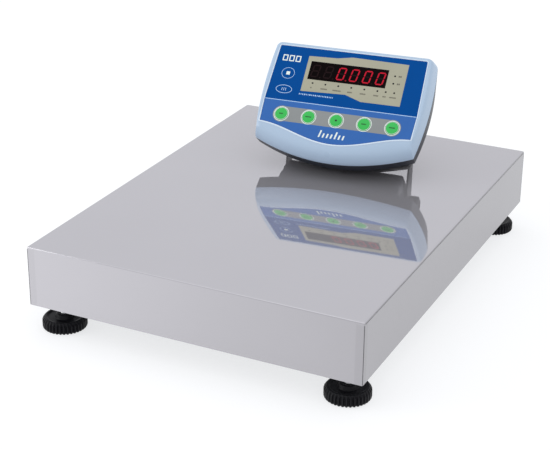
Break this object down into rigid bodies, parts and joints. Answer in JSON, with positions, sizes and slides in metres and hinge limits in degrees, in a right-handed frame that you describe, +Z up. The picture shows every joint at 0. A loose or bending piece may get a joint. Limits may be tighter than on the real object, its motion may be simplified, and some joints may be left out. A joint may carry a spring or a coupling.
{
  "type": "bench weighing scale",
  "caption": "Low bench scale: folded steel platter on a load cell frame with knurled levelling feet, and a tilting LED terminal with round keys on a bracket.",
  "frame": {"origin": "floor level under the middle of the platter", "axes": "+X right, +Y to the rear along the platter's long side, +Z up"},
  "size_m": [0.45, 0.6, 0.2712],
  "materials": {
    "stainless": "fine brushed, half mirror",
    "zinc_steel": "zinc plated",
    "frame_paint": "grey powder coat",
    "cell_alloy": "machined satin",
    "black_plastic": "moulded satin",
    "rubber": "matt",
    "potting": "cast silicone",
    "bracket_paint": "dark powder coat",
    "bezel_plastic": "moulded semi gloss",
    "case_plastic": "moulded fine texture",
    "overlay_film": "printed polycarbonate film",
    "window_acrylic": "dark tinted, polished",
    "circuit_board": "solder mask",
    "module_black": "potted module",
    "brass": "turned",
    "key_green": "moulded semi gloss",
    "rocker_red": "polished",
    "vial": "clear vial with tinted fluid",
    "winding": "taped winding"
  },
  "bodies": {
    "base": {"lower_side_rails": "frame_paint", "lower_end_rails": "frame_paint", "load_cell_beam": "frame_paint", "rail_end_caps": "black_plastic", "foot_bushes": "zinc_steel", "foot_lock_nuts": "zinc_steel", "lower_spacer": "cell_alloy", "load_cell": "cell_alloy", "load_cell_potting": "potting", "fixed_end_bolts": "zinc_steel", "overload_stops": "zinc_steel", "stop_lock_nuts": "zinc_steel", "level_body": "black_plastic", "level_vial": "vial", "base_gland": "black_plastic"},
    "load_frame": {"upper_side_rails": "frame_paint", "upper_end_rails": "frame_paint", "live_end_plate": "frame_paint", "upper_spacer": "cell_alloy", "live_end_bolts": "zinc_steel", "platter_buffers": "rubber"},
    "platter": {"platter": "stainless", "platter_ribs": "stainless"},
    "bracket": {"tilt_bracket": "bracket_paint", "bracket_pads": "rubber"},
    "head": {"front_bezel": "bezel_plastic", "rear_case": "case_plastic", "case_gasket": "rubber", "front_overlay": "overlay_film", "display_window": "window_acrylic", "display_board": "circuit_board", "digit_modules": "module_black", "indicator_lamps": "module_black", "key_switches": "module_black", "main_board": "circuit_board", "battery": "module_black", "transformer": "winding", "case_screws": "zinc_steel", "knob_inserts": "brass", "mains_gland": "black_plastic", "signal_gland": "black_plastic", "switch_frame": "black_plastic"},
    "rocker": {"power_rocker": "rocker_red"},
    "knob_left": {"clamp_knob_left": "black_plastic"},
    "knob_right": {"clamp_knob_right": "black_plastic"},
    "key_1": {"key_1": "key_green"},
    "key_2": {"key_2": "key_green"},
    "key_3": {"key_3": "key_green"},
    "key_4": {"key_4": "key_green"},
    "key_5": {"key_5": "key_green"},
    "stud_fl": {"foot_stud_fl": "zinc_steel"},
    "wheel_fl": {"foot_wheel_fl": "black_plastic"},
    "stud_fr": {"foot_stud_fr": "zinc_steel"},
    "wheel_fr": {"foot_wheel_fr": "black_plastic"},
    "stud_rl": {"foot_stud_rl": "zinc_steel"},
    "wheel_rl": {"foot_wheel_rl": "black_plastic"},
    "stud_rr": {"foot_stud_rr": "zinc_steel"},
    "wheel_rr": {"foot_wheel_rr": "black_plastic"}
  },
  "joints": [
    {"name": "weigh_travel", "type": "slide", "parent": "base", "child": "load_frame", "axis": [0, 0, 1], "range_m": [-0.001, 0], "stiffness_N_per_m": 600000, "deforming": ["load_cell"]},
    {"name": "platter_lift", "type": "slide", "parent": "load_frame", "child": "platter", "axis": [0, 0, 1], "range_m": [0, 0.1]},
    {"name": "terminal_lift", "type": "slide", "parent": "platter", "child": "bracket", "axis": [0, 0, 1], "range_m": [0, 0.12]},
    {"name": "head_tilt", "type": "hinge", "parent": "bracket", "child": "head", "pos_m": [0.00677, 0.16061, 0.1758], "axis": [0.9956, 0.0941, 0], "range_deg": [-25, 4]},
    {"name": "knob_left_turn", "type": "hinge", "parent": "head", "child": "knob_left", "pos_m": [0.00677, 0.16061, 0.1758], "axis": [0.9956, 0.0941, 0], "continuous": true},
    {"name": "knob_right_turn", "type": "hinge", "parent": "head", "child": "knob_right", "pos_m": [0.00677, 0.16061, 0.1758], "axis": [0.9956, 0.0941, 0], "continuous": true},
    {"name": "rocker_tilt", "type": "hinge", "parent": "head", "child": "rocker", "pos_m": [-0.00401, 0.18962, 0.16961], "axis": [0.9956, 0.0941, 0], "range_deg": [-16, 0]},
    {"name": "key_1_press", "type": "slide", "parent": "head", "child": "key_1", "axis": [-0.0685, 0.7245, -0.6858], "range_m": [0, 0.0005], "stiffness_N_per_m": 3000},
    {"name": "key_2_press", "type": "slide", "parent": "head", "child": "key_2", "axis": [-0.0685, 0.7245, -0.6858], "range_m": [0, 0.0005], "stiffness_N_per_m": 3000},
    {"name": "key_3_press", "type": "slide", "parent": "head", "child": "key_3", "axis": [-0.0685, 0.7245, -0.6858], "range_m": [0, 0.0005], "stiffness_N_per_m": 3000},
    {"name": "key_4_press", "type": "slide", "parent": "head", "child": "key_4", "axis": [-0.0685, 0.7245, -0.6858], "range_m": [0, 0.0005], "stiffness_N_per_m": 3000},
    {"name": "key_5_press", "type": "slide", "parent": "head", "child": "key_5", "axis": [-0.0685, 0.7245, -0.6858], "range_m": [0, 0.0005], "stiffness_N_per_m": 3000},
    {"name": "foot_travel_fl", "type": "slide", "parent": "base", "child": "stud_fl", "axis": [0, 0, 1], "range_m": [-0.012, 0]},
    {"name": "foot_turn_fl", "type": "hinge", "parent": "stud_fl", "child": "wheel_fl", "pos_m": [-0.195, -0.27, 0.01], "axis": [0, 0, 1], "range_deg": [-2880, 0]},
    {"name": "foot_travel_fr", "type": "slide", "parent": "base", "child": "stud_fr", "axis": [0, 0, 1], "range_m": [-0.012, 0]},
    {"name": "foot_turn_fr", "type": "hinge", "parent": "stud_fr", "child": "wheel_fr", "pos_m": [0.195, -0.27, 0.01], "axis": [0, 0, 1], "range_deg": [-2880, 0]},
    {"name": "foot_travel_rl", "type": "slide", "parent": "base", "child": "stud_rl", "axis": [0, 0, 1], "range_m": [-0.012, 0]},
    {"name": "foot_turn_rl", "type": "hinge", "parent": "stud_rl", "child": "wheel_rl", "pos_m": [-0.195, 0.27, 0.01], "axis": [0, 0, 1], "range_deg": [-2880, 0]},
    {"name": "foot_travel_rr", "type": "slide", "parent": "base", "child": "stud_rr", "axis": [0, 0, 1], "range_m": [-0.012, 0]},
    {"name": "foot_turn_rr", "type": "hinge", "parent": "stud_rr", "child": "wheel_rr", "pos_m": [0.195, 0.27, 0.01], "axis": [0, 0, 1], "range_deg": [-2880, 0]}
  ],
  "couplings": [
    {"joint": "foot_travel_fl", "follows": "foot_turn_fl", "m_per_rad": 0.0002387},
    {"joint": "foot_travel_fr", "follows": "foot_turn_fr", "m_per_rad": 0.0002387},
    {"joint": "foot_travel_rl", "follows": "foot_turn_rl", "m_per_rad": 0.0002387},
    {"joint": "foot_travel_rr", "follows": "foot_turn_rr", "m_per_rad": 0.0002387}
  ]
}
